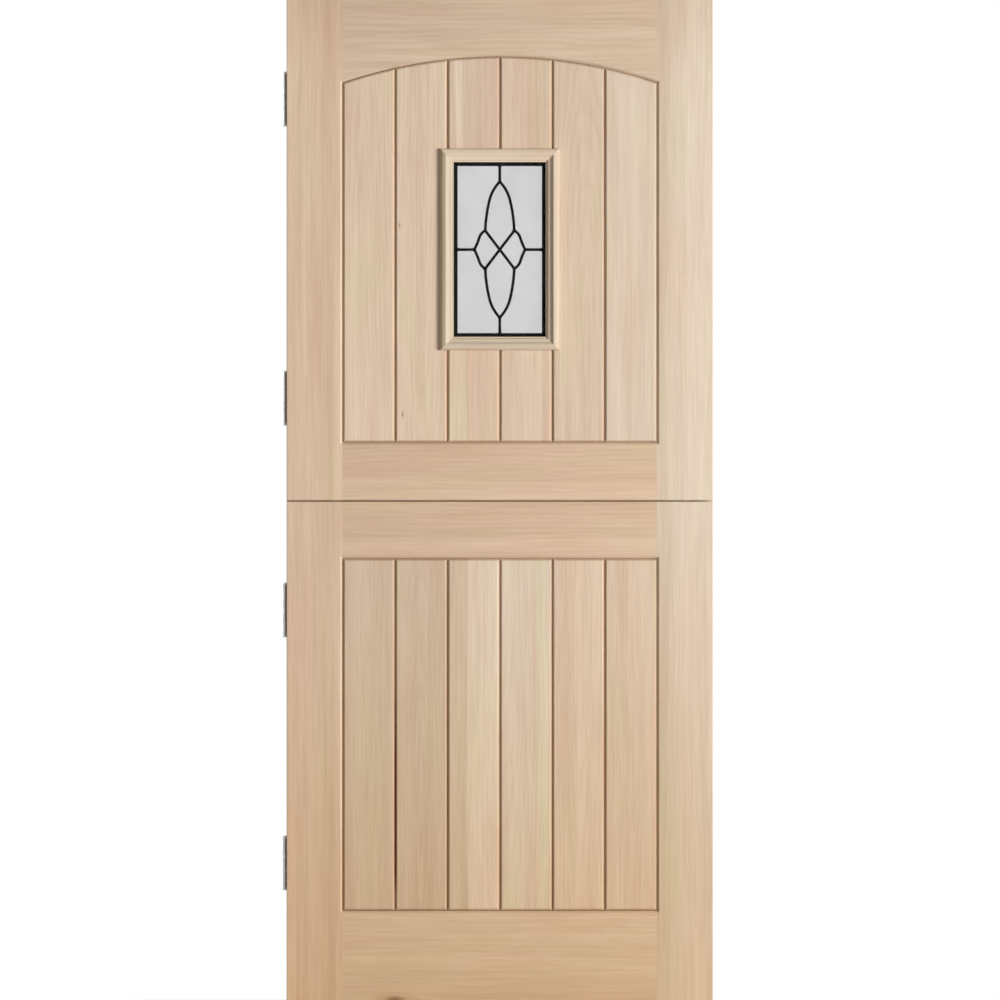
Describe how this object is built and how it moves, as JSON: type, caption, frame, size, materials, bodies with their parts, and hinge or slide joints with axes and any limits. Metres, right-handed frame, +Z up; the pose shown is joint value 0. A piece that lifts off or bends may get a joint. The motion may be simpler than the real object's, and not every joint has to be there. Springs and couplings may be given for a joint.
{
  "type": "stable door",
  "caption": "Boarded oak stable door in two separately swinging leaves, arched upper panel with a small leaded light, hung on butt hinges.",
  "frame": {"origin": "middle of the bottom edge, half way through the door's thickness", "axes": "+X to the right seen from outside, +Y into the building, +Z up"},
  "size_m": [0.846, 0.0695, 1.981],
  "materials": {
    "oak_frame": "unfinished pale oak, sanded",
    "oak_boards": "unfinished pale oak, sanded",
    "oak_beads": "unfinished pale oak, moulded",
    "core_timber": "sawn softwood",
    "clear_glass": "clear float glass",
    "obscure_glass": "stippled obscure glass",
    "lead": "black patinated lead",
    "spacer_bar": "black anodised",
    "edge_sealant": "matte",
    "glazing_tape": "matte",
    "setting_block": "matte",
    "hinge_steel": "satin",
    "screw_steel": "zinc plated",
    "seal_rubber": "matte brown"
  },
  "bodies": {
    "jamb_plates": {"foot_hinge_jamb_plate": "hinge_steel", "head_hinge_jamb_plate": "hinge_steel", "hinge_pins": "hinge_steel", "lower_middle_hinge_jamb_plate": "hinge_steel", "upper_middle_hinge_jamb_plate": "hinge_steel"},
    "lower_leaf": {"foot_hinge_leaf_plate": "hinge_steel", "foot_rail": "oak_frame", "lower_core": "core_timber", "lower_hinge_screws": "screw_steel", "lower_hinge_stile": "oak_frame", "lower_inner_boards": "oak_boards", "lower_lock_stile": "oak_frame", "lower_meeting_rail": "oak_frame", "lower_middle_hinge_leaf_plate": "hinge_steel", "lower_outer_board_1": "oak_boards", "lower_outer_board_2": "oak_boards", "lower_outer_board_3": "oak_boards", "lower_outer_board_4": "oak_boards", "lower_outer_board_5": "oak_boards", "lower_outer_board_6": "oak_boards", "meeting_seal": "seal_rubber"},
    "upper_leaf": {"glass_edge_seal": "edge_sealant", "glass_inner_pane": "clear_glass", "glass_inner_spacer": "spacer_bar", "glass_outer_pane": "clear_glass", "glass_outer_spacer": "spacer_bar", "glazing_liners": "core_timber", "head_hinge_leaf_plate": "hinge_steel", "head_rail": "oak_frame", "inner_bead_bottom": "oak_beads", "inner_bead_left": "oak_beads", "inner_bead_right": "oak_beads", "inner_bead_top": "oak_beads", "inner_glazing_tape": "glazing_tape", "lead_cames": "lead", "leaded_glass_pieces": "obscure_glass", "outer_bead_bottom": "oak_beads", "outer_bead_left": "oak_beads", "outer_bead_right": "oak_beads", "outer_bead_top": "oak_beads", "outer_glazing_tape": "glazing_tape", "setting_blocks": "setting_block", "upper_core": "core_timber", "upper_hinge_screws": "screw_steel", "upper_hinge_stile": "oak_frame", "upper_inner_boards": "oak_boards", "upper_lock_stile": "oak_frame", "upper_meeting_rail": "oak_frame", "upper_middle_hinge_leaf_plate": "hinge_steel", "upper_outer_board_1": "oak_boards", "upper_outer_board_2": "oak_boards", "upper_outer_board_3_above_light": "oak_boards", "upper_outer_board_3_below_light": "oak_boards", "upper_outer_board_4_above_light": "oak_boards", "upper_outer_board_4_below_light": "oak_boards", "upper_outer_board_5": "oak_boards", "upper_outer_board_6": "oak_boards"}
  },
  "joints": [
    {"name": "lower_leaf_swing", "type": "hinge", "parent": "jamb_plates", "child": "lower_leaf", "pos_m": [-0.4205, 0.029, 0.525], "axis": [0, 0, 1], "range_deg": [0, 90]},
    {"name": "upper_leaf_swing", "type": "hinge", "parent": "lower_leaf", "child": "upper_leaf", "pos_m": [-0.4205, 0.029, 1.4855], "axis": [0, 0, 1], "range_deg": [0, 90]}
  ]
}
